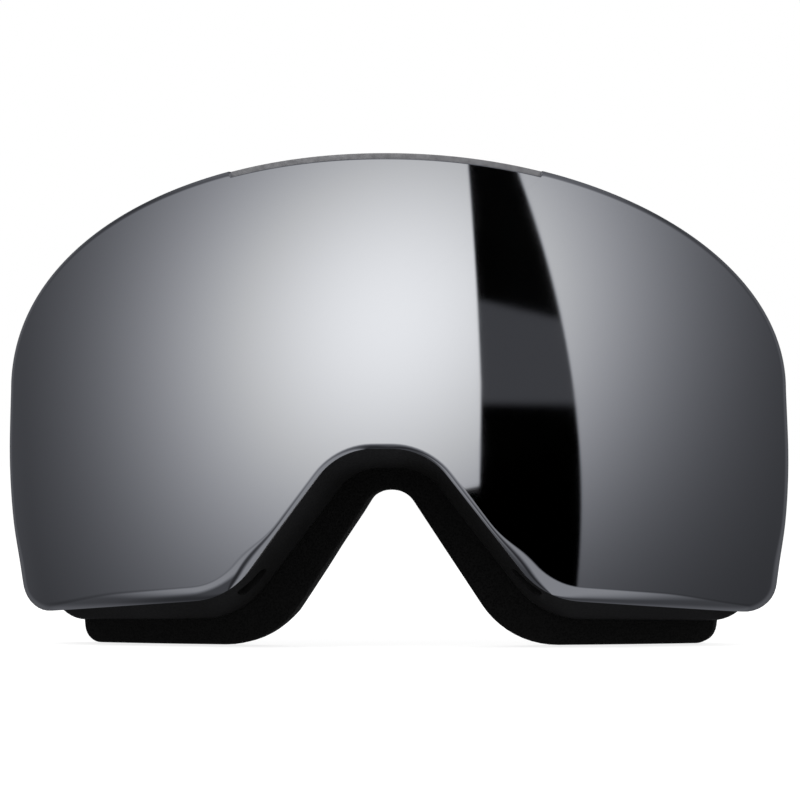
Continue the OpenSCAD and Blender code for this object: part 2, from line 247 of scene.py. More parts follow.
def on_flange(p, d=0.0):
    """The point at p on the face flange's back, or d in front of it."""
    return Vector((p[0], FLANGE_AXIS_Y - math.sqrt((FLANGE_R + d) ** 2 - p[0] ** 2), p[1]))


def in_foam(p, share):
    """The point at p in the foam: share 0 is on the flange, and 1 is at the face."""
    back = FOAM_AXIS_Y - math.sqrt(FOAM_R**2 - p[0] ** 2)
    front = on_flange(p).y
    return Vector((p[0], front + (back - front) * share, p[1]))


def lens_loop(inset, d):
    return [on_lens(p, d) for p in outline(lens_outline(inset))]


def flange_loop(inset, d):
    return [on_flange(p, d) for p in outline(flange_outline(inset))]


def foam_loop(inset, share):
    return [in_foam(p, share) for p in outline(foam_outline(inset))]


# ---- mesh helpers ----


link = bpy.context.scene.collection.objects.link


def add_mesh(name, points, faces, materials, slots=None, sharp=35):
    """A smooth-shaded object from points in millimetres, with edges sharp above an angle."""
    mesh = bpy.data.meshes.new(name)
    mesh.from_pydata([Vector(p) * MM for p in points], [], faces)
    for m in materials if isinstance(materials, list) else [materials]:
        mesh.materials.append(m)
    if slots:
        mesh.polygons.foreach_set("material_index", slots)
    mesh.polygons.foreach_set("use_smooth", [True] * len(mesh.polygons))
    mesh.set_sharp_from_angle(angle=math.radians(sharp))
    mesh.validate()
    piece = bpy.data.objects.new(name, mesh)
    link(piece)
    return piece


def outward(piece):
    """Turns every face outwards."""
    mesh = piece.data
    work = bmesh.new()
    work.from_mesh(mesh)
    bmesh.ops.recalc_face_normals(work, faces=work.faces)
    work.to_mesh(mesh)
    work.free()
    return piece


MAX_SHARE = 0.45  # of a side that one rounded corner may take
TINY = 1e-6


def soften(section, r, steps=3):
    """A closed cross-section with each corner rounded over a length r."""
    rounded = []
    for j, corner in enumerate(section):
        a = section[j - 1] - corner
        b = section[(j + 1) % len(section)] - corner
        p = corner + a * min(MAX_SHARE, r / max(a.length, TINY))
        q = corner + b * min(MAX_SHARE, r / max(b.length, TINY))
        for i in range(steps + 1):
            t = i / steps
            rounded.append(p * (1 - t) ** 2 + corner * 2 * t * (1 - t) + q * t**2)
    return rounded


def join_rows(starts, count):
    """Quads between rows, each a loop of count points whose first point's index is in starts."""
    faces = []
    for a, b in zip(starts, starts[1:]):
        for i in range(count):
            j = (i + 1) % count
            faces.append((a + i, b + i, b + j, a + j))
    return faces


def skin(sections, closed):
    """Points and faces of sections of equal length: a closed ring, or a strip with capped ends."""
    n, m = len(sections), len(sections[0])
    starts = [k * m for k in range(n)]
    faces = join_rows(starts + [0] if closed else starts, m)
    if not closed:
        faces.append(tuple(range(m)))
        faces.append(tuple(starts[-1] + j for j in reversed(range(m))))
    return [p for s in sections for p in s], faces


def add_part(points, faces, part_points, part_faces):
    """Adds one part's points and faces to those of a piece."""
    start = len(points)
    points += part_points
    faces += [tuple(start + v for v in face) for face in part_faces]


def ring_piece(name, loops, material, r, span=None, longest=None):
    """A ring, or the part of it in span, whose cross-section has one corner on each loop.

    Corners are rounded over a length r, and sides are split into parts up to longest, if given.
    """
    count = len(loops[0])
    stations = range(count) if span is None else range(span[0], span[1] + 1)
    sections = []
    for i in stations:
        section = soften([loop[i % count] for loop in loops], r)
        sections.append(split_sides(section, loops, longest) if longest else section)
    points, faces = skin(sections, span is None)
    return outward(add_mesh(name, points, faces, material, sharp=50))


def split_sides(rounded, loops, longest):
    """A rounded section with its sides split, into the same number of parts at every station."""
    sides = len(loops)
    steps = len(rounded) // sides
    finer = []
    for j in range(sides):
        length = (loops[(j + 1) % sides][0] - loops[j][0]).length
        parts = max(1, math.ceil(length / longest))
        corner = rounded[j * steps : (j + 1) * steps]
        following = rounded[((j + 1) * steps) % len(rounded)]
        finer += corner + [corner[-1].lerp(following, i / parts) for i in range(1, parts)]
    return finer


def apply_modifiers(piece):
    """Replaces the piece's mesh with its modified one."""
    graph = bpy.context.evaluated_depsgraph_get()
    mesh = bpy.data.meshes.new_from_object(piece.evaluated_get(graph))
    piece.modifiers.clear()
    piece.data = mesh
    return piece


def carve(piece, cutter, operation="DIFFERENCE"):
    """Cuts the cutter out of the piece, or joins it on, and removes the cutter."""
    boolean = piece.modifiers.new("carve", "BOOLEAN")
    boolean.operation = operation
    boolean.object = cutter
    boolean.solver = "EXACT"
    apply_modifiers(piece)
    bpy.data.objects.remove(cutter)
    return piece


def stand_in(piece, body, slot, *nodes):
    """Shows the piece in place of CAD nodes, riding on a body. The slot argument is not used."""
    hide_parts(*nodes)
    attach(piece, body)


# ---- material helpers ----


def fill(tree, socket, value):
    if isinstance(value, bpy.types.NodeSocket):
        tree.links.new(value, socket)
    else:
        socket.default_value = value


def node(tree, kind, inputs=(), **settings):
    """A shader node with its settings and inputs, which are values or other nodes' sockets."""
    made = tree.nodes.new("ShaderNode" + kind)
    for key, value in settings.items():
        setattr(made, key, value)
    pairs = inputs.items() if isinstance(inputs, dict) else enumerate(inputs)
    for key, value in pairs:
        fill(tree, made.inputs[key], value)
    return made


def maths(tree, operation, a, b=0.0, c=0.0):
    return node(tree, "Math", [a, b, c], operation=operation).outputs[0]


def plus(tree, a, b):
    return maths(tree, "ADD", a, b)


def minus(tree, a, b):
    return maths(tree, "SUBTRACT", a, b)


def times(tree, a, b):
    return maths(tree, "MULTIPLY", a, b)


def times_plus(tree, a, b, c):
    return maths(tree, "MULTIPLY_ADD", a, b, c)


def smooth_range(tree, value, start, end, to_start=0.0, to_end=1.0):
    """Eases from one result to the other as the value runs from start to end."""
    inputs = {"Value": value, "From Min": start, "From Max": end, "To Min": to_start, "To Max": to_end}
    return node(tree, "MapRange", inputs, interpolation_type="SMOOTHSTEP").outputs[0]


def noise(tree, scale, detail=3.0, roughness=0.5, vector=None):
    place = vector or node(tree, "TexCoord").outputs["Object"]
    inputs = {"Vector": place, "Scale": scale, "Detail": detail, "Roughness": roughness}
    return node(tree, "TexNoise", inputs).outputs[0]


def ramp(tree, value, dark, light, start=0.3, end=0.7):
    """Colour that runs from dark to light as the value runs from start to end."""
    made = node(tree, "ValToRGB", [value])
    made.color_ramp.elements[0].position = start
    made.color_ramp.elements[0].color = (*dark, 1)
    made.color_ramp.elements[1].position = end
    made.color_ramp.elements[1].color = (*light, 1)
    return made.outputs[0]


def bump(tree, height, distance, strength):
    """A normal for relief of a height given in millimetres."""
    inputs = {"Height": height, "Distance": distance * MM, "Strength": strength}
    return node(tree, "Bump", inputs).outputs[0]


def shaded(name, build):
    """A material whose surface is the shader socket that build(tree) returns."""
    made = bpy.data.materials.new(name)
    made.use_nodes = True
    tree = made.node_tree
    tree.nodes.clear()
    node(tree, "OutputMaterial", {"Surface": build(tree)})
    return made


def principled(name, build):
    """A material whose Principled shader takes the inputs that build(tree) returns."""
    return shaded(name, lambda tree: node(tree, "BsdfPrincipled", build(tree)).outputs[0])


# ---- materials ----


def mirror_coat(tree):
    """Silver coating outside; from inside, the dark smoked pane that it is laid on."""
    wave = noise(tree, 9.0, 1.0)
    coat = node(
        tree,
        "BsdfPrincipled",
        {
            "Base Color": (0.79, 0.805, 0.84, 1),
            "Metallic": 1.0,
            "Roughness": smooth_range(tree, noise(tree, 60.0), 0.3, 0.7, 0.035, 0.05),
            "Normal": bump(tree, wave, 0.02, 0.15),
        },
    ).outputs[0]
    smoke = node(tree, "BsdfTransparent", [(0.16, 0.165, 0.18, 1)]).outputs[0]
    sheen = node(tree, "BsdfGlossy", {"Color": (0.35, 0.36, 0.4, 1), "Roughness": 0.05})
    inside = node(tree, "MixShader", [0.25, smoke, sheen.outputs[0]]).outputs[0]
    behind = node(tree, "NewGeometry").outputs["Backfacing"]
    return node(tree, "MixShader", [behind, coat, inside]).outputs[0]


def clear_pane(tint, gloss):
    """A clear or tinted pane: what is behind it, and a smeared reflection near its edges."""

    def build(tree):
        through = node(tree, "BsdfTransparent", [(*tint, 1)]).outputs[0]
        smear = smooth_range(tree, noise(tree, 35.0, 4.0), 0.45, 0.75, 0.02, 0.07)
        shine = node(tree, "BsdfGlossy", {"Color": (0.9, 0.92, 0.95, 1), "Roughness": smear})
        edge = node(tree, "LayerWeight", {"Blend": 0.22}).outputs["Fresnel"]
        share = times(tree, edge, gloss)
        return node(tree, "MixShader", [share, through, shine.outputs[0]]).outputs[0]

    return build


def polished_edge(tree):
    """The lens's cut edge and brow ledge: mid-grey and finely brushed."""
    brushed = noise(tree, 700.0, 2.0)
    return {
        "Base Color": ramp(tree, brushed, (0.10, 0.10, 0.106), (0.15, 0.15, 0.158)),
        "Roughness": 0.32,
        "Specular IOR Level": 0.6,
        "Normal": bump(tree, brushed, 0.02, 0.3),
    }


def moulded(dark, light, rough=0.5, grain=0.05, shine=0.5, edge_highlight=0.03):
    """Moulded plastic or rubber: spark-eroded grain, flow marks, and a painted highlight that makes convex
    edges paler.
    """

    def build(tree):
        fine = noise(tree, 1400.0, 3.0)
        broad = noise(tree, 45.0, 3.0)
        base = ramp(tree, broad, dark, light, 0.35, 0.65)
        # Convex edges, found by pointiness, are mixed towards pale grey: a painted highlight.
        convexity = node(tree, "NewGeometry").outputs["Pointiness"]
        edge = smooth_range(tree, convexity, 0.53, 0.6, 0.0, edge_highlight)
        colour = node(tree, "Mix", {"Factor": edge}, data_type="RGBA")
        plain, highlight_colour = [s for s in colour.inputs if s.type == "RGBA"]
        fill(tree, plain, base)
        fill(tree, highlight_colour, (0.25, 0.25, 0.26, 1))
        return {
            "Base Color": [s for s in colour.outputs if s.type == "RGBA"][0],
            "Roughness": smooth_range(tree, fine, 0.3, 0.7, rough - 0.08, rough + 0.08),
            "Specular IOR Level": shine,
            "Normal": bump(tree, fine, grain, 0.6),
        }

    return build


def foam(dark, light, pore, depth):
    """Open-cell foam: round pores of a size, in millimetres, under a finer grain."""

    def build(tree):
        place = node(tree, "TexCoord").outputs["Object"]
        pores = node(tree, "TexVoronoi", {"Vector": place, "Scale": 1 / (pore * MM)})
        holes = pores.outputs["Distance"]
        grain = noise(tree, 2.5 / (pore * MM), 3.0)
        height = plus(tree, holes, times(tree, grain, 0.5))
        return {
            # The pores are painted darker than the cell walls round them: painted shade in the hollows.
            "Base Color": ramp(tree, holes, dark, light, 0.1, 0.6),
            "Roughness": 0.95,
            "Specular IOR Level": 0.08,
            "Sheen Weight": 0.01,
            "Sheen Roughness": 0.5,
            "Normal": bump(tree, height, depth, 0.8),
        }

    return build


def fleece(tree):
    """Brushed pile: soft tufts over fine lint, with a velvet sheen."""
    tufts = noise(tree, 520.0, 4.0, 0.65)
    lint = noise(tree, 2600.0, 2.0)
    height = plus(tree, tufts, times(tree, lint, 0.35))
    return {
        # The hollows between the tufts are painted darker than their tops: painted shade.
        "Base Color": ramp(tree, tufts, (0.006, 0.006, 0.007), (0.022, 0.022, 0.024)),
        "Roughness": 1.0,
        "Specular IOR Level": 0.1,
        "Sheen Weight": 0.18,
        "Sheen Roughness": 0.4,
        "Sheen Tint": (0.6, 0.6, 0.65, 1),
        "Normal": bump(tree, height, 0.25, 0.9),
    }


def webbing(tree):
    """Woven elastic: weft picks across lengthwise ribs, laid out by the piece's UV map."""
    place = node(tree, "UVMap", uv_map="weave").outputs[0]
    axes = node(tree, "SeparateXYZ", [place])
    along, across = axes.outputs[0], axes.outputs[1]
    rib, pick = 1.25 * MM, 0.9 * MM
    row = maths(tree, "FLOOR", maths(tree, "DIVIDE", across, rib))
    shift = times(tree, row, 0.5)
    turn = plus(tree, maths(tree, "DIVIDE", along, pick), shift)
    weft = maths(tree, "SINE", times(tree, turn, 2 * math.pi))
    warp = maths(tree, "COSINE", times(tree, across, 2 * math.pi / rib))
    fuzz = noise(tree, 3000.0, 2.0)
    body = times_plus(tree, weft, 0.5, 0.5)
    height = plus(tree, body, times(tree, warp, 0.35))
    height = plus(tree, height, times(tree, fuzz, 0.5))
    # The colour follows the weave's height: its hollows are painted darker, as painted shade.
    tone = times_plus(tree, height, 0.4, 0.1)
    return {
        "Base Color": ramp(tree, tone, (0.007, 0.007, 0.008), (0.034, 0.034, 0.037), 0.1, 0.8),
        "Roughness": 0.78,
        "Specular IOR Level": 0.3,
        "Sheen Weight": 0.12,
        "Sheen Roughness": 0.35,
        "Normal": bump(tree, height, 0.12, 0.85),
    }


def steel(tree):
    streak = node(tree, "Mapping", [node(tree, "TexCoord").outputs["Object"]])
    streak.inputs["Scale"].default_value = (1, 1, 0.05)
    lines = noise(tree, 2500.0, 2.0, vector=streak.outputs[0])
    return {
        "Base Color": ramp(tree, lines, (0.42, 0.42, 0.44), (0.62, 0.62, 0.65)),
        "Metallic": 1.0,
        "Roughness": smooth_range(tree, lines, 0.3, 0.7, 0.22, 0.34),
        "Normal": bump(tree, lines, 0.01, 0.4),
    }


def silicone(tree):
    return {
        "Base Color": ramp(tree, noise(tree, 300.0), (0.05, 0.05, 0.055), (0.08, 0.08, 0.088)),
        "Roughness": smooth_range(tree, noise(tree, 500.0), 0.3, 0.7, 0.22, 0.36),
        "Coat Weight": 0.2,
        "Normal": bump(tree, noise(tree, 900.0), 0.03, 0.4),
    }


def thread(tree):
    twist = noise(tree, 2600.0, 2.0)
    return {
        # The low spots of the twist's relief are painted darker: painted shade.
        "Base Color": ramp(tree, twist, (0.03, 0.03, 0.032), (0.07, 0.07, 0.075)),
        "Roughness": 0.7,
        "Sheen Weight": 0.2,
        "Normal": bump(tree, twist, 0.06, 0.7),
    }


MIRROR = shaded("lens_mirror", mirror_coat)
PANE_BACK = shaded("lens_pane_back", clear_pane((0.85, 0.86, 0.88), 0.5))
PANE_INNER = shaded("lens_pane_inner", clear_pane((0.62, 0.64, 0.67), 0.9))
LENS_EDGE = principled("lens_edge", polished_edge)
GASKET = principled("gasket_foam", foam((0.004, 0.004, 0.004), (0.016, 0.016, 0.017), 0.35, 0.1))
CARRIER = principled("carrier_plastic", moulded((0.012,) * 3, (0.018,) * 3, 0.38, 0.02))
NICKEL = principled("magnet_metal", steel)
RUBBER = principled(
    "frame_rubber", moulded((0.004,) * 3, (0.006, 0.006, 0.0063), 0.42, 0.05, 0.28, 0.012)
)
FILTER = principled("filter_foam", foam((0.006,) * 3, (0.05, 0.05, 0.052), 1.1, 0.6))
FOAM_BASE = principled("face_foam_base", foam((0.0006,) * 3, (0.0032,) * 3, 0.45, 0.16))
FOAM_SOFT = principled("face_foam_soft", foam((0.003,) * 3, (0.014,) * 3, 0.6, 0.3))
FLEECE = principled("fleece", fleece)
NYLON = principled("hardware_plastic", moulded((0.014,) * 3, (0.02,) * 3, 0.42, 0.035, edge_highlight=0.08))
STEEL = principled("pin_steel", steel)
WEBBING = principled("webbing", webbing)
SILICONE = principled("silicone", silicone)
THREAD = principled("thread", thread)


# ---- lens module ----

LENS_STATIONS = 420
LENS_CENTRE = Vector((0, 75))
ROLL_STEPS = 10
CROWN_STEPS = 34
ROLL_ANGLE = math.radians(38)
BROW_ROLL = 1.3  # width of the rolled edge over the brow and sides
BOTTOM_ROLL = 2.4  # what the bottom edge adds to it
BACK_INSET = 0.3
BACK_SHARES = (0.86, 0.7, 0.54, 0.38, 0.22, 0.08)  # rows of the back, as shares of its rim
LEDGE_ROWS = 9  # rows of the shell, from the back rim, that the ledge takes up
CROWN_SLOT, EDGE_SLOT, BACK_SLOT = 0, 1, 2
SMOOTH = Vector((0, 0, 0))  # leaves a corner's normal to Blender


def resample(path, count):
    """Evenly spaced points round a closed path."""
    closed = path + [path[0]]
    lengths = [(b - a).length for a, b in zip(closed, closed[1:])]
    total = sum(lengths)
    spaced = []
    i, passed = 0, 0.0
    for k in range(count):
        want = total * k / count
        while passed + lengths[i] < want:
            passed += lengths[i]
            i += 1
        spaced.append(closed[i].lerp(closed[i + 1], (want - passed) / max(lengths[i], 1e-9)))
    return spaced


def smoothstep(start, end, value):
    t = max(0.0, min(1.0, (value - start) / (end - start)))
    return t * t * (3 - 2 * t)


def with_ledge_ends(path):
    """The outline with points added close on each side of both ends of the brow ledge."""
    gap = 0.12
    stops = [s * LEDGE_HALF + d for s in (-1, 1) for d in (-gap, gap)]
    finer = []
    for i, p in enumerate(path):
        q = path[(i + 1) % len(path)]
        finer.append(p)
        if p.y > WIDEST_Z and q.y > WIDEST_Z:
            inside = [x for x in stops if min(p.x, q.x) < x < max(p.x, q.x)]
            for x in sorted(inside, reverse=q.x < p.x):
                finer.append(p.lerp(q, (x - p.x) / (q.x - p.x)))
    return finer


def roll_width(p):
    """How far in from its edge the lens starts to roll back: widest along the bottom."""
    x, z = abs(p.x), p.y
    if z > WIDEST_Z:
        return BROW_ROLL
    along_bottom = smoothstep(20, 30, x) * (1 - smoothstep(17, 29, z))
    outer = smoothstep(62, 84, x)
    return BROW_ROLL + BOTTOM_ROLL * along_bottom * (1 - 0.7 * outer)


def on_ledge(p):
    return abs(p.x) < LEDGE_HALF and p.y > WIDEST_Z


def inward_directions(edge):
    """At each point of a closed outline, the direction into it, seen from the front."""
    directions = []
    for i, before in enumerate(edge):
        t = (edge[(i + 2) % len(edge)] - before).normalized()
        directions.append(Vector((t.y, -t.x)))
    return directions[-1:] + directions[:-1]


def roll_point(p, inward, share):
    """The place and depth on the rolled edge: share 0 is the edge, and 1 is the crown's start."""
    if on_ledge(p):
        at = share * (len(LEDGE_STEPS) - 1)
        k = min(int(at), len(LEDGE_STEPS) - 2)
        inset, d = Vector(LEDGE_STEPS[k]).lerp(Vector(LEDGE_STEPS[k + 1]), at - k)
        return p + inward * inset, d
    w = roll_width(p)
    r = w / math.sin(ROLL_ANGLE)
    s = w * share
    return p + inward * s, r - math.sqrt(r * r - (w - s) ** 2)


def roll_normal(p, inward, share):
    """The surface's normal there, turned from the crown's by the roll's angle."""
    place = roll_point(p, inward, share)[0]
    away = on_lens(place - inward * 0.1, 0) - on_lens(place, 0)
    lean = math.asin(math.sin(ROLL_ANGLE) * (1 - share))
    return lens_normal(place) * math.cos(lean) + away.normalized() * math.sin(lean)


def lens_front(edge, inward):
    """Rows of the lens from its back rim, round the edge, to its front, and their normals."""
    count = len(edge)
    near_ledge = [any(on_ledge(edge[(i + k) % count]) for k in (-1, 0, 1)) for i in range(count)]
    rows = [
        [on_lens(p + n * BACK_INSET, LENS_T) for p, n in zip(edge, inward)],
        [on_lens(p + n * 0.04, LENS_T - 0.3) for p, n in zip(edge, inward)],
    ]
    normals = [[SMOOTH] * count, [SMOOTH] * count]
    for k in range(ROLL_STEPS + 1):
        share = k / ROLL_STEPS
        rows.append([on_lens(*roll_point(p, n, share)) for p, n in zip(edge, inward)])
        row = [roll_normal(p, n, share) for p, n in zip(edge, inward)]
        for i in range(count):
            if near_ledge[i]:
                start = roll_point(edge[i], inward[i], 1)[0]
                row[i] = lens_normal(start) if share == 1 else SMOOTH
        normals.append(row)
    rim = [roll_point(p, n, 1)[0] for p, n in zip(edge, inward)]
    for k in range(1, CROWN_STEPS):
        places = [LENS_CENTRE + (p - LENS_CENTRE) * (1 - k / CROWN_STEPS) for p in rim]
        rows.append([on_lens(p, 0) for p in places])
        normals.append([lens_normal(p) for p in places])
    return rows, normals


def lens_shell():
    """The outer lens: a double-curved crown, a rolled edge with the brow ledge, and the back."""
    edge = with_ledge_ends(resample(outline(lens_outline(0)), LENS_STATIONS))
    inward = inward_directions(edge)
    count = len(edge)
    rows, row_normals = lens_front(edge, inward)
    points = [p for row in rows for p in row]
    normals = [n for row in row_normals for n in row]
    faces, slots = [], []
    for k in range(len(rows) - 1):
        for i in range(count):
            j = (i + 1) % count
            faces.append((k * count + i, k * count + j, (k + 1) * count + j, (k + 1) * count + i))
            ledge = on_ledge(edge[i]) and on_ledge(edge[j]) and k < LEDGE_ROWS
            slots.append(EDGE_SLOT if k < 2 or ledge else CROWN_SLOT)
    last, front_centre = (len(rows) - 1) * count, len(points)
    points.append(on_lens(LENS_CENTRE, 0))
    normals.append(lens_normal(LENS_CENTRE))
    faces += [(last + i, last + (i + 1) % count, front_centre) for i in range(count)]
    slots += [CROWN_SLOT] * count

    starts = [0]
    back_rim = [p + n * BACK_INSET for p, n in zip(edge, inward)]
    for share in BACK_SHARES:
        starts.append(len(points))
        points += [on_lens(LENS_CENTRE + (p - LENS_CENTRE) * share, LENS_T) for p in back_rim]
    faces += join_rows(starts, count)
    back_centre = len(points)
    points.append(on_lens(LENS_CENTRE, LENS_T))
    faces += [(starts[-1] + i, back_centre, starts[-1] + (i + 1) % count) for i in range(count)]
    slots += [BACK_SLOT] * (len(faces) - len(slots))

    panes = [MIRROR, LENS_EDGE, PANE_BACK]
    piece = outward(add_mesh("outer_lens_shell", points, faces, panes, slots))
    set_crown_normals(piece.data, normals)
    return piece


def set_crown_normals(mesh, normals):
    """Gives the crown the surface's exact normals, so that its reflections stay smooth."""
    corners = [SMOOTH] * len(mesh.loops)
    for polygon in mesh.polygons:
        if polygon.material_index == CROWN_SLOT:
            for corner in polygon.loop_indices:
                corners[corner] = normals[mesh.loops[corner].vertex_index]
    mesh.normals_split_custom_set(corners)


INNER_STATIONS = 200
INNER_SHARES = (0.04, 0.2, 0.4, 0.6, 0.8, 0.95, 1.0)  # its rows, from the middle to the edge


def inner_pane():
    """The inner lens, a thin curved plate."""
    edge = resample(outline(lens_outline(INNER_INSET)), INNER_STATIONS)
    rows = [[on_lens(LENS_CENTRE.lerp(p, s), INNER_D) for p in edge] for s in INNER_SHARES]
    for share in reversed(INNER_SHARES):
        rows.append([on_lens(LENS_CENTRE.lerp(p, share), INNER_D + INNER_T) for p in edge])
    points, faces = skin(rows, False)
    return outward(add_mesh("inner_lens_pane", points, faces, PANE_INNER))


def lens_ring(name, insets, front, back, material):
    """A ring between two insets from the lens's outline and two depths."""
    outer, inner = insets
    loops = [lens_loop(outer, front), lens_loop(inner, front), lens_loop(inner, back), lens_loop(outer, back)]
    return ring_piece(name, loops, material, 0.5)


def lens_module():
    front = LENS_T + LAYER_GAP
    gasket = lens_ring("lens_gasket", GASKET_INSETS, front, INNER_D - LAYER_GAP, GASKET)
    carrier = lens_ring("lens_carrier_ring", CARRIER_INSETS, front, CARRIER_BACK_D, CARRIER)
    stand_in(lens_shell(), "lens_module", "lens_mirror", "outer_lens")
    stand_in(inner_pane(), "lens_module", "lens_clear", "inner_lens")
    stand_in(gasket, "lens_module", "gasket_foam", "lens_spacer")
    stand_in(carrier, "lens_module", "carrier_plastic", "lens_carrier")


# ---- frame ----


SLOT_REACH = 3.4  # how far a vent's cutter reaches to each side of the wall's middle
SLOT_FLARE = [(-SLOT_REACH, 1.0), (0.4, 1.0), (1.3, 1.16), (SLOT_REACH, 1.5)]  # height, width ratio
SLOT_END_STEPS = 10


def slot_cutter(centre, along, through, length, width):
    """A slot with rounded ends and a flared mouth, cut along a direction."""
    along = along.normalized()
    through = (through - along * through.dot(along)).normalized()
    across = through.cross(along)
    ring = []
    for side in (1, -1):
        for k in range(SLOT_END_STEPS + 1):
            t = -math.pi / 2 + math.pi * k / SLOT_END_STEPS
            a = side * ((length - width) / 2 + width / 2 * math.cos(t))
            b = side * width / 2 * math.sin(t)
            ring.append((a, b))
    sections = []
    for height, grow in SLOT_FLARE:
        extra = (grow - 1) * width
        sections.append(
            [
                centre + through * height + along * (a * (1 + extra / length)) + across * (b * grow)
                for a, b in ring
            ]
        )
    return skin(sections, False)


def wall_frame(i, seat, face):
    """Middle of the frame's wall at station i, its direction along the wall, and its outward side."""
    reach = 3  # stations to each side
    along = (seat[i + reach] + face[i + reach] - seat[i - reach] - face[i - reach]) / 2
    return (seat[i] + face[i]) / 2, along, along.cross(face[i] - seat[i])


VENTS = [(12, 14, 4.4), (32, 14, 4.4), (48, 14, 4.4), (NOSE_CORNER + 8, 9.0, 2.6)]  # station, length, width


def vent_cutters(seat, face):
    """Every vent on both halves, as one piece to cut away."""
    points, faces = [], []
    for i, length, width in VENTS:
        part, sides = slot_cutter(*wall_frame(i, seat, face), length, width)
        for sign in (1, -1):
            add_part(points, faces, [p * Vector((sign, 1, 1)) for p in part], sides)
    return outward(add_mesh("vent_cutter", points, faces, RUBBER))


def frame_shell():
    """The soft frame: lens seat, sloping wall and face flange in one moulding, with its vents."""
    seat_o, seat_i = SEAT_INSETS
    seat_front, seat_back = SEAT_D - LAYER_GAP, SEAT_D + FRAME_T
    loops = [
        lens_loop(seat_o + 0.5, seat_front),
        lens_loop(seat_i, seat_front),
        lens_loop(seat_i, seat_back),
        lens_loop(seat_o + FRAME_T, seat_back),
        flange_loop(FRAME_T, FRAME_T),
        flange_loop(FLANGE_W, FRAME_T),
        flange_loop(FLANGE_W, 0),
        flange_loop(0, 0),
        flange_loop(0.1, 1.4),
        lens_loop(seat_o - 0.2, SEAT_D + 0.9),
    ]
    piece = ring_piece("frame_moulding", loops, RUBBER, SOFT_R, longest=3.0)
    carve(piece, vent_cutters(lens_loop(seat_o + FRAME_T / 2, seat_back), flange_loop(FRAME_T / 2, FRAME_T)))
    for ear in hinge_ears():
        carve(piece, ear, "UNION")
    piece.data.polygons.foreach_set("use_smooth", [True] * len(piece.data.polygons))
    piece.data.set_sharp_from_angle(angle=math.radians(40))
    stand_in(piece, "frame", "frame_rubber", "frame")


HINGE_X = (low("hinge_pin_left").x + high("hinge_pin_left").x) / 2
HINGE_Y = (low("hinge_pin_left").y + high("hinge_pin_left").y) / 2
EAR_R = 3.4
EAR_T = 3.6
EAR_Z = 8.3  # from the strap's centre line to an ear's near face
EAR_EDGE = 0.5  # rounding of an ear's edges
EAR_ROOT = [(-4.4, -6), (-4.0, -13.0), (-1.6, -15), (0.8, -9.0), (2.6, -4.5)]  # in the wall, from the pin
EAR_ARC_STEPS = 12


def hinge_ears():
    """Four rounded ears that grow back from the frame's sides to the hinge pins."""
    turns = [math.pi * k / EAR_ARC_STEPS for k in range(EAR_ARC_STEPS + 1)]
    plan = [(EAR_R * math.cos(t), EAR_R * math.sin(t)) for t in turns] + EAR_ROOT
    layers = [(0, EAR_EDGE), (EAR_EDGE, 0), (EAR_T - EAR_EDGE, 0), (EAR_T, EAR_EDGE)]
    for sign in (1, -1):
        for z in (STRAP_Z + EAR_Z, STRAP_Z - EAR_Z - EAR_T):
            sections = []
            for height, inset in layers:
                grow = 1 - inset / (2 * EAR_R)
                places = [(HINGE_X + x * grow, HINGE_Y + y * grow) for x, y in plan]
                sections.append([Vector((sign * x, y, z + height)) for x, y in places])
            points, faces = skin(sections, False)
            yield outward(add_mesh("hinge_ear", points, faces, RUBBER))


FILTER_GAP = 0.45  # between a filter and the frame's wall
FILTER_T = 2.3
TOP_FILTER_REACH = 60  # stations to each side of the brow's middle
LOWER_FILTER = (4, 13)  # stations past the nose's corner


def vent_filters():
    """The foam behind the brow vents, and behind each nose vent."""
    near = FRAME_T + FILTER_GAP
    far = near + FILTER_T
    loops = [
        lens_loop(SEAT_INSETS[0] + near, SEAT_D + near),
        lens_loop(SEAT_INSETS[0] + far, SEAT_D + near),
        flange_loop(far, near),
        flange_loop(near, near),
    ]
    count = len(loops[0])
    start, end = (NOSE_CORNER + k for k in LOWER_FILTER)
    spans = {
        "top_vent_filter": (-TOP_FILTER_REACH, TOP_FILTER_REACH),
        "lower_vent_filter_left": (start, end),
        "lower_vent_filter_right": (count - end, count - start),
    }
    for name, span in spans.items():
        piece = ring_piece(name + "_foam", loops, FILTER, 0.4, span=span)
        stand_in(piece, "frame", "filter_foam", name)


# ---- face foam ----


def foam_ring(name, replaced, slot, material, inset, start, end, swell):
    """One foam layer, from one share of the foam's depth to another, rounded and swollen."""
    middle = (start + end) / 2
    outer = [foam_loop(inset, start), foam_loop(inset - swell, middle), foam_loop(inset, end)]
    inner_inset = FOAM_W - inset
    inner = [
        foam_loop(inner_inset, end),
        foam_loop(inner_inset + swell, middle),
        foam_loop(inner_inset, start),
    ]
    loops = inner[::-1] + outer[::-1]
    piece = ring_piece(name, loops, material, SOFT_R, longest=2.2)
    stand_in(piece, "frame", slot, replaced)
    return piece


BASE_TOP = 0.45  # where each layer ends, as a share of the foam's depth
SOFT_TOP = 0.86


def face_foam():
    foam_ring("foam_base", "face_foam_base", "face_foam", FOAM_BASE, 0.25, 0.0, BASE_TOP, 0.0)
    soft = foam_ring(
        "foam_comfort", "face_foam_comfort", "face_foam", FOAM_SOFT, 0.4, BASE_TOP, SOFT_TOP, 0.25
    )
    top = foam_ring("fleece_lining", "face_fleece", "fleece", FLEECE, 0.5, SOFT_TOP, 1.0, 0.3)
    roughen(top, 0.004, 0.35)
    roughen(soft, 0.003, 0.15)


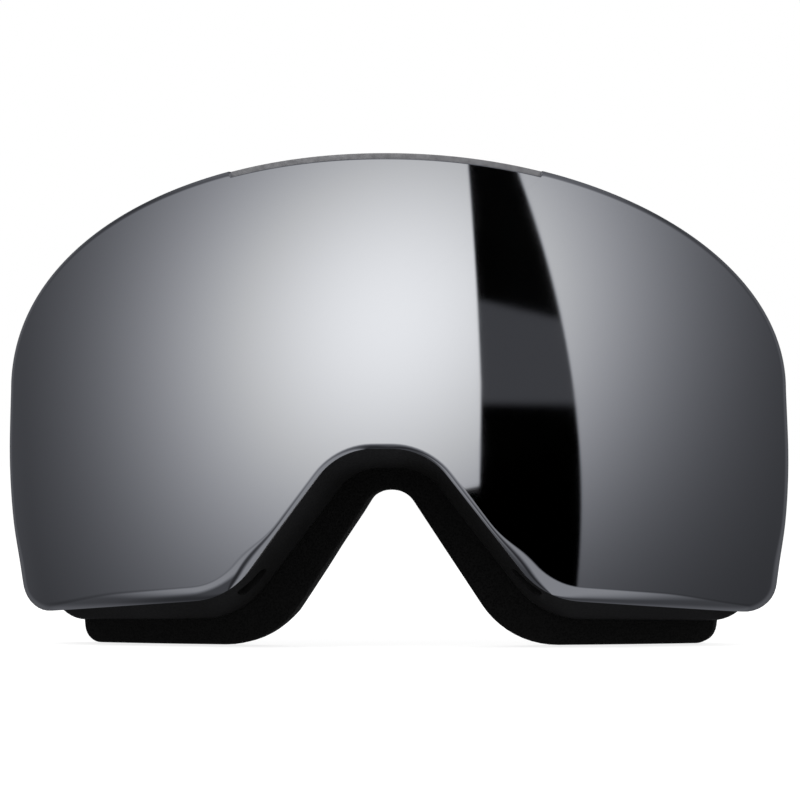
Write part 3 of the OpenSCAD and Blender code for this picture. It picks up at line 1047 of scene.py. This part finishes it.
def roughen(piece, size, strength):
    """Pushes the mesh by a fixed cloud pattern: size in metres, strength in millimetres."""
    cloud = bpy.data.textures.new(piece.name + "_clouds", "CLOUDS")
    cloud.noise_scale = size
    push = piece.modifiers.new("uneven", "DISPLACE")
    push.texture = cloud
    push.texture_coords = "LOCAL"
    push.strength = strength * MM
    push.mid_level = 0.5
    apply_modifiers(piece)


# ---- strap ----

RIBS = 32
RIB_STEPS = 4
RIB_DEPTH = 0.15
EDGE_START = 0.955  # where the webbing starts to thin, as a share of its half width


def web_section():
    """Cross-section of the webbing, as (offset from its middle, height): ribbed faces, soft edges."""
    points = []
    steps = RIBS * RIB_STEPS
    for side in (1, -1):
        for k in range(steps + 1):
            v = side * (k / steps - 0.5) * STRAP_W
            edge = max(0.0, abs(v) / (STRAP_W / 2) - EDGE_START) / (1 - EDGE_START)
            rib = RIB_DEPTH / 2 * (math.cos(2 * math.pi * k / RIB_STEPS) - 1) * (1 - edge)
            half = STRAP_T / 2 * math.sqrt(max(0.12, 1 - edge**2))
            points.append((side * (half + rib), v))
    return points


def sideways(path):
    """The direction to the left at each point of a path in plan."""
    sides = []
    for i in range(len(path)):
        along = (path[min(i + 1, len(path) - 1)] - path[max(i - 1, 0)]).normalized()
        sides.append(Vector((-along.y, along.x)))
    return sides


def ribbon(name, path):
    """Webbing swept along a path in plan, with a UV map in metres along and across it."""
    section = web_section()
    sections, lengths = [], [0.0]
    for i, (p, side) in enumerate(zip(path, sideways(path))):
        sections.append([Vector((p.x + side.x * a, p.y + side.y * a, STRAP_Z + v)) for a, v in section])
        if i:
            lengths.append(lengths[-1] + (p - path[i - 1]).length)
    points, faces = skin(sections, False)
    piece = outward(add_mesh(name, points, faces, WEBBING, sharp=60))
    layer = piece.data.uv_layers.new(name="weave")
    for loop in piece.data.loops:
        i, j = divmod(loop.vertex_index, len(section))
        layer.data[loop.index].uv = (lengths[i] * MM, section[j][1] * MM)
    return piece


def split(a, b, step=1.5):
    """Points from a up to, but not at, b."""
    parts = max(1, round((b - a).length / step))
    return [a.lerp(b, i / parts) for i in range(parts)]


def head_curve(inset=0.0, steps=180):
    """The path round the back of the head, from the +X side to the -X side."""
    half, depth = BAND_X - inset, BAND_REAR - CURVE_Y - inset
    turns = [math.pi * k / steps for k in range(steps + 1)]
    return [Vector((half * math.cos(t), CURVE_Y + depth * math.sin(t))) for t in turns]


CLOSING = 9.0  # from the bar to where the two layers lie together
LOOP_STEPS = 24


def loop_path():
    """From the band, forward along the outer layer, round the bar, and back along the inner one."""
    closing = BAR_Y + CLOSING
    outer_x, inner_x = STRAP_X + LOOP_R, STRAP_X - LOOP_R
    path = split(Vector((BAND_X, JOIN_Y)), Vector((BAND_X, closing)))
    path += bend(Vector((BAND_X, closing)), Vector((outer_x, BAR_Y)))
    path += [
        Vector((STRAP_X + LOOP_R * math.cos(t), BAR_Y + LOOP_R * math.sin(t)))
        for t in [-math.pi * k / LOOP_STEPS for k in range(LOOP_STEPS + 1)]
    ]
    path += bend(Vector((inner_x, BAR_Y)), Vector((TAIL_X, closing)))[1:]
    path += split(Vector((TAIL_X, closing)), Vector((TAIL_X, CURVE_Y)))
    path.append(Vector((TAIL_X, CURVE_Y)))
    return path


def bend(a, b, steps=8):
    """An S-curve from a to b, both ends along Y."""
    return [
        Vector((a.x + (b.x - a.x) * smoothstep(0, 1, k / steps), a.y + (b.y - a.y) * k / steps))
        for k in range(steps)
    ]


def stitches(name, rows, normal):
    """Thread stitches as small domed capsules whose ends dip into the webbing."""
    points, faces = [], []
    length, radius, sink, rings, sides = 2.1, 0.24, 0.14, 7, 8
    for centre, direction in rows:
        across = normal.cross(direction)
        sections = []
        for i in range(rings):
            t = math.pi * (i + 0.5) / rings
            r = radius * math.sin(t) ** 0.6
            shift = -math.cos(t) * length / 2
            dip = -sink * (abs(shift) / (length / 2)) ** 2
            ring = []
            for u in [2 * math.pi * j / sides for j in range(sides)]:
                offset = normal * (r * math.sin(u) + dip) + across * (r * math.cos(u))
                ring.append(centre + direction * shift + offset)
            sections.append(ring)
        add_part(points, faces, *skin(sections, False))
    return outward(add_mesh(name, points, faces, THREAD, sharp=80))


SEAM_MARGIN = 4.0  # from the webbing's edges to the sewn box
SEAM_Y = (BAR_Y + 11.5, BAR_Y + 16.5)


def box_stitch(x, y0, y1, pitch=2.6):
    """Stitch centres and directions round a box on the plane at x."""
    z0, z1 = STRAP_LOW.z + SEAM_MARGIN, STRAP_HIGH.z - SEAM_MARGIN
    corners = [Vector((x, y, z)) for y, z in ((y0, z0), (y1, z0), (y1, z1), (y0, z1))]
    rows = []
    for a, b in zip(corners, corners[1:] + corners[:1]):
        count = max(1, round((b - a).length / pitch))
        direction = (b - a).normalized()
        rows += [(a.lerp(b, (k + 0.5) / count), direction) for k in range(count)]
    return rows


def strap():
    for side, sign in (("left", 1), ("right", -1)):
        web = ribbon("webbing_" + side, [Vector((sign * p.x, p.y)) for p in loop_path()])
        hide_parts("strap_end_" + side, "strap_tail_" + side)
        rows = box_stitch(sign * (BAND_X + STRAP_T / 2), *SEAM_Y)
        seam = stitches("webbing_seam_" + side, rows, Vector((sign, 0, 0)))
        for piece in (web, seam):
            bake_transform(piece)
    path = split(Vector((BAND_X, JOIN_Y)), Vector((BAND_X, CURVE_Y)))
    path += head_curve()
    path += split(Vector((-BAND_X, CURVE_Y)), Vector((-BAND_X, JOIN_Y)))[1:]
    path.append(Vector((-BAND_X, JOIN_Y)))
    band = ribbon("head_band", path)
    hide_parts("strap_band")
    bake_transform(band)
    grip = grip_lines()
    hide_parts("strap_grip")
    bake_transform(grip)


GRIP_HEIGHTS = (-12, 0, 12)  # from the strap's centre line
GRIP_WAVE, GRIP_HALF_PITCH = 1.6, 7.0
GRIP_HALF_W, GRIP_RISE = 1.1, 0.42
GRIP_SIDES = 10


def grip_lines():
    """Three wavy silicone beads printed inside the band."""
    low_y = low("strap_grip").y
    inset = STRAP_T / 2 + 0.12
    dense = [p for p in head_curve(inset, 900) if p.y > low_y]
    points, faces = [], []
    for dz in GRIP_HEIGHTS:
        sections, travelled = [], 0.0
        for i, (p, side) in enumerate(zip(dense, sideways(dense))):
            travelled += (p - dense[max(i - 1, 0)]).length
            z = STRAP_Z + dz + GRIP_WAVE * math.sin(travelled / GRIP_HALF_PITCH * math.pi)
            taper = min(1.0, 0.3 + min(i, len(dense) - 1 - i) / 4)
            ring = []
            for k in range(GRIP_SIDES):
                u = 2 * math.pi * k / GRIP_SIDES
                out = GRIP_RISE * taper * math.sin(u)
                up = GRIP_HALF_W * taper * math.cos(u)
                ring.append(Vector((p.x + side.x * out, p.y + side.y * out, z + up)))
            sections.append(ring)
        add_part(points, faces, *skin(sections, False))
    return outward(add_mesh("grip_lines", points, faces, SILICONE))


# ---- hardware ----


def bevel_node(name, material, width, segments=3):
    """Keeps a CAD node, with rounded edges and a real material."""
    piece = frame["nodes"][name]
    piece.data.materials.clear()
    piece.data.materials.append(material)
    weld = piece.modifiers.new("weld", "WELD")
    weld.merge_threshold = 0.005 * MM
    flat = piece.modifiers.new("flat", "DECIMATE")
    flat.decimate_type = "DISSOLVE"
    flat.angle_limit = math.radians(1)
    bevel = piece.modifiers.new("edges", "BEVEL")
    bevel.width = width * MM
    bevel.segments = segments
    bevel.limit_method = "ANGLE"
    bevel.angle_limit = math.radians(40)
    bevel.harden_normals = True
    return piece


def hardware():
    for side in ("left", "right"):
        bevel_node("outrigger_" + side, NYLON, 0.45)
        bevel_node("slider_" + side, NYLON, 0.4)
        bevel_node("hinge_pin_" + side, STEEL, 0.2)
    bevel_node("carrier_magnets", NICKEL, 0.15)
    bevel_node("frame_keepers", NICKEL, 0.15)


# ---- stage ----


GLOW_LEFT, GLOW_UP = math.radians(3.5), math.radians(7)
GLOW_FALL_ACROSS, GLOW_FALL_UP, GLOW_SLANT = 2.2, 12.6, 0.8
GLOW_LIGHT, STUDIO_LIGHT = 0.95, 0.026
PATCH_LIGHT, TABLE_LIGHT, SKY_LIGHT, BEHIND_LIGHT = 0.055, 0.27, 0.10, 0.06


def glow(tree, azimuth, elevation):
    """The studio's large soft light, seen in the lens as a round glow near its centre."""
    across = maths(tree, "COSINE", plus(tree, azimuth, GLOW_LEFT))
    upward = maths(tree, "COSINE", minus(tree, elevation, GLOW_UP))
    fade = times_plus(tree, across, GLOW_FALL_ACROSS, -GLOW_FALL_ACROSS)
    fall_up = times_plus(tree, upward, GLOW_FALL_UP, -GLOW_FALL_UP)
    fade = plus(tree, fade, fall_up)
    slant = times(tree, maths(tree, "SINE", azimuth), maths(tree, "SINE", elevation))
    fade = times_plus(tree, slant, GLOW_SLANT, fade)
    return times_plus(tree, maths(tree, "EXPONENT", fade), GLOW_LIGHT, STUDIO_LIGHT)


def dark_gap(tree, degrees, rise):
    """The dark gap between two studio panels, right of the camera, and the grey patch in it.

    Its left edge leans, with a notch below, and its right edge is bowed. All are in degrees.
    """
    lean = times(tree, maths(tree, "MAXIMUM", rise, 0.0), 0.08)
    notch = smooth_range(tree, rise, -10.6, -11.4, 0.0, 6.0)
    left = minus(tree, minus(tree, 21.1, lean), notch)
    bow = maths(tree, "POWER", maths(tree, "MAXIMUM", plus(tree, rise, 25.0), 0.0), 2.0)
    right = minus(tree, 50.5, times(tree, bow, 0.0077))
    from_left = minus(tree, degrees, left)
    from_right = minus(tree, right, degrees)
    right_side = smooth_range(tree, from_right, -0.4, 0.7)
    inside = times(tree, smooth_range(tree, from_left, -0.3, 0.5), right_side)
    panel_top = minus(tree, 9.2, times(tree, from_left, 0.11))
    below_top = smooth_range(tree, minus(tree, panel_top, rise), -0.2, 0.8)
    patch = times(tree, smooth_range(tree, rise, -2.6, -1.4), below_top)
    return inside, times(tree, patch, inside)


def table_light(tree, degrees, rise):
    """Light from the table below: bright on the right, and a shallow strip on the left."""
    right = smooth_range(tree, degrees, -9.0, 12.0)
    left = smooth_range(tree, degrees, -14.0, -24.0)
    shallow = smooth_range(tree, rise, -38.0, -55.0, 1.0, 0.15)
    near = times_plus(tree, left, shallow, right)
    far = smooth_range(tree, maths(tree, "ABSOLUTE", degrees), 60.0, 105.0, 1.0, 0.12)
    down = smooth_range(tree, rise, -21.0, -28.0)
    return times(tree, times(tree, near, far), down)


def world():
    """White to the camera, plain soft light on the object, and a studio in its reflections."""
    made = bpy.data.worlds.new("studio")
    bpy.context.scene.world = made
    made.use_nodes = True
    tree = made.node_tree
    tree.nodes.clear()
    direction = node(tree, "SeparateXYZ", [node(tree, "TexCoord").outputs["Generated"]])
    x, y, z = direction.outputs
    azimuth = maths(tree, "ARCTAN2", x, times(tree, y, -1.0))
    elevation = maths(tree, "ARCSINE", z)
    degrees = times(tree, azimuth, 180 / math.pi)
    rise = times(tree, elevation, 180 / math.pi)
    gap, patch = dark_gap(tree, degrees, rise)
    table = table_light(tree, degrees, rise)
    light = times(tree, glow(tree, azimuth, elevation), minus(tree, 1.0, gap))
    light = times_plus(tree, patch, PATCH_LIGHT, light)
    light = times(tree, light, minus(tree, 1.0, table))
    light = times_plus(tree, table, TABLE_LIGHT, light)
    sky = smooth_range(tree, rise, 26.0, 50.0)
    light = times_plus(tree, sky, SKY_LIGHT, light)
    behind = smooth_range(tree, maths(tree, "ABSOLUTE", degrees), 115.0, 150.0)
    light = times_plus(tree, behind, BEHIND_LIGHT, light)
    seen = node(tree, "Background", {"Color": (1, 1, 1, 1), "Strength": 1.0}).outputs[0]
    soft = node(tree, "Background", {"Color": (1, 1, 1, 1), "Strength": 0.75}).outputs[0]
    tint = ramp(tree, light, (0.945, 0.965, 1.06), (1, 1, 1), 0.03, 0.6)
    studio = node(tree, "Background", {"Color": tint, "Strength": light}).outputs[0]
    rays = node(tree, "LightPath")
    mixed = node(tree, "MixShader", [rays.outputs["Is Glossy Ray"], soft, studio]).outputs[0]
    mixed = node(tree, "MixShader", [rays.outputs["Is Camera Ray"], mixed, seen]).outputs[0]
    node(tree, "OutputWorld", {"Surface": mixed})


def floor_material(tree):
    """A plain white sweep that still takes a faint shadow."""
    tone = ramp(tree, noise(tree, 6.0, 3.0), (0.99, 0.99, 0.99), (1, 1, 1))
    white = node(tree, "Emission", {"Color": tone, "Strength": 0.82}).outputs[0]
    shade = node(tree, "BsdfDiffuse", {"Color": (0.3, 0.3, 0.3, 1)}).outputs[0]
    return node(tree, "AddShader", [white, shade]).outputs[0]


def stage():
    size = 6.0
    mesh = bpy.data.meshes.new("floor")
    corners = [(-size, -size, 0), (size, -size, 0), (size, size, 0), (-size, size, 0)]
    mesh.from_pydata(corners, [], [(0, 1, 2, 3)])
    mesh.materials.append(shaded("floor", floor_material))
    floor = bpy.data.objects.new("floor", mesh)
    floor.location.z = -0.2 * MM
    floor.visible_glossy = False
    link(floor)


AIM = Vector((0, -0.04, 0.055))  # the middle of the goggles, in metres


def area_light(name, place, power, size):
    """A soft light aimed at the middle of the goggles, kept out of the lens's reflection."""
    data = bpy.data.lights.new(name, "AREA")
    data.energy = power
    data.size = size
    lamp = bpy.data.objects.new(name, data)
    lamp.location = place
    lamp.rotation_euler = (AIM - lamp.location).to_track_quat("-Z", "Y").to_euler()
    lamp.visible_glossy = False
    link(lamp)


def camera():
    """A long lens, almost straight in front, at half the goggles' height."""
    distance = 2.3
    azimuth = math.radians(3.8)
    target = Vector((0.6 * MM, (FRONT_Y + 52) * MM, 56.7 * MM))
    seen_width = 186.0 * MM
    data = bpy.data.cameras.new("camera")
    data.sensor_width = 36
    data.lens = data.sensor_width * distance / seen_width
    made = bpy.data.objects.new("camera", data)
    back = Vector((math.sin(azimuth), -math.cos(azimuth), 0))
    made.location = target + back * distance
    made.rotation_euler = (-back).to_track_quat("-Z", "Y").to_euler()
    link(made)
    bpy.context.scene.camera = made


lens_module()
frame_shell()
vent_filters()
face_foam()
strap()
hardware()
world()
stage()
area_light("key", (-0.5, -0.9, 0.9), 9.0, 0.7)
area_light("fill", (0.8, -0.6, 0.5), 4.0, 0.7)
area_light("rim", (0.2, 0.9, 0.8), 5.0, 0.6)
camera()
bpy.context.scene.view_settings.view_transform = "Standard"
